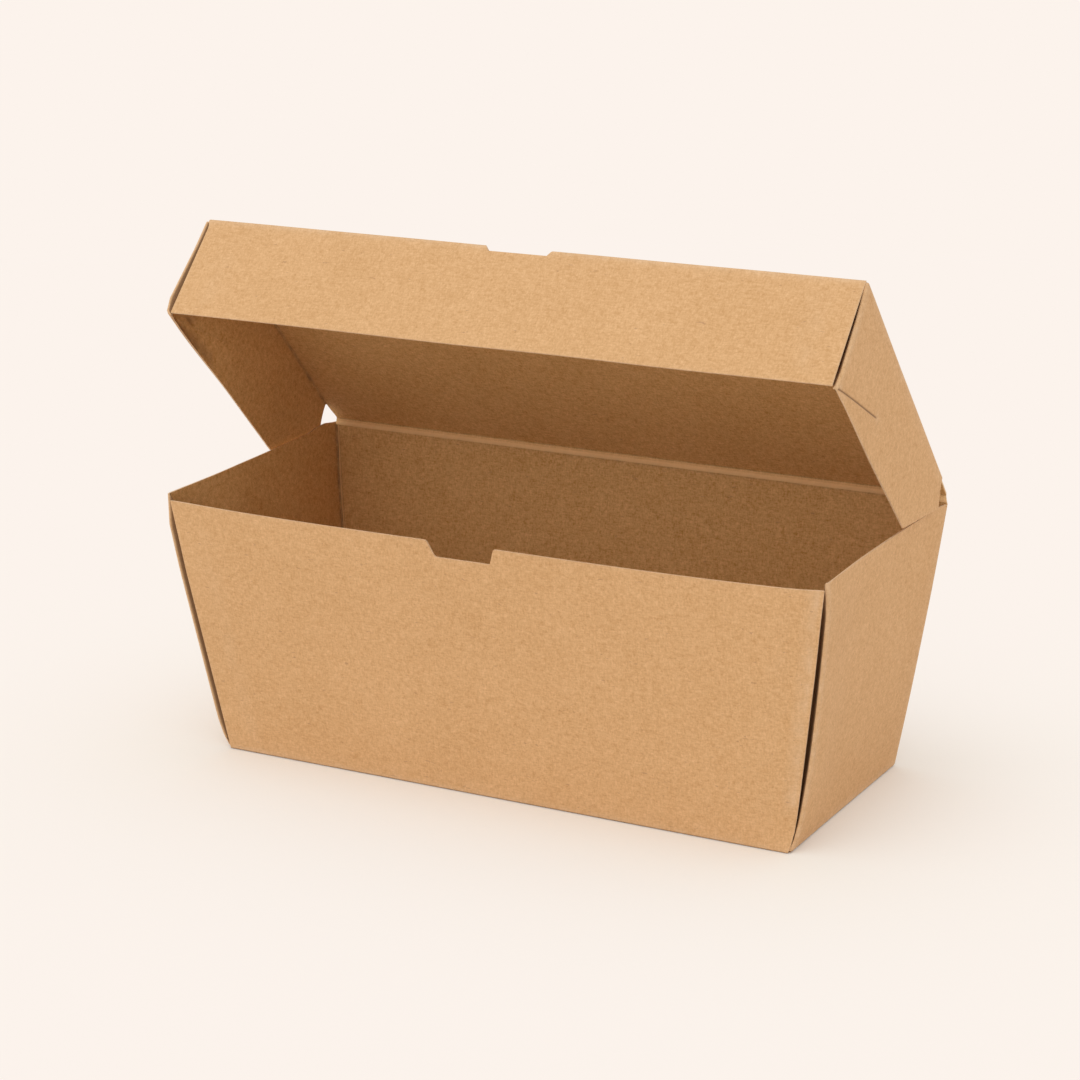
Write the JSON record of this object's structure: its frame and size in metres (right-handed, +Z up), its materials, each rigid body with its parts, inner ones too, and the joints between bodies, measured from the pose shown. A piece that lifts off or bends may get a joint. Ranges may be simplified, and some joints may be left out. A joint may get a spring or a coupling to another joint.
{
  "type": "loaf box",
  "caption": "Kraft paperboard loaf box: a tapered tray with a hinged lid that has side and front flaps, standing open.",
  "frame": {"origin": "middle of the base's underside", "axes": "+Z up, -Y towards the front wall with the finger notch, +X along the length"},
  "size_m": [0.2018, 0.0909, 0.1518],
  "materials": {
    "kraft_board": "uncoated brown kraft"
  },
  "bodies": {
    "tray": {"tray": "kraft_board"},
    "lid": {"lid": "kraft_board"}
  },
  "joints": [
    {"name": "lid_hinge", "type": "hinge", "parent": "tray", "child": "lid", "pos_m": [0, 0.04285, 0.0801], "axis": [-1, 0, 0], "range_deg": [-49.4, 130.5]}
  ]
}
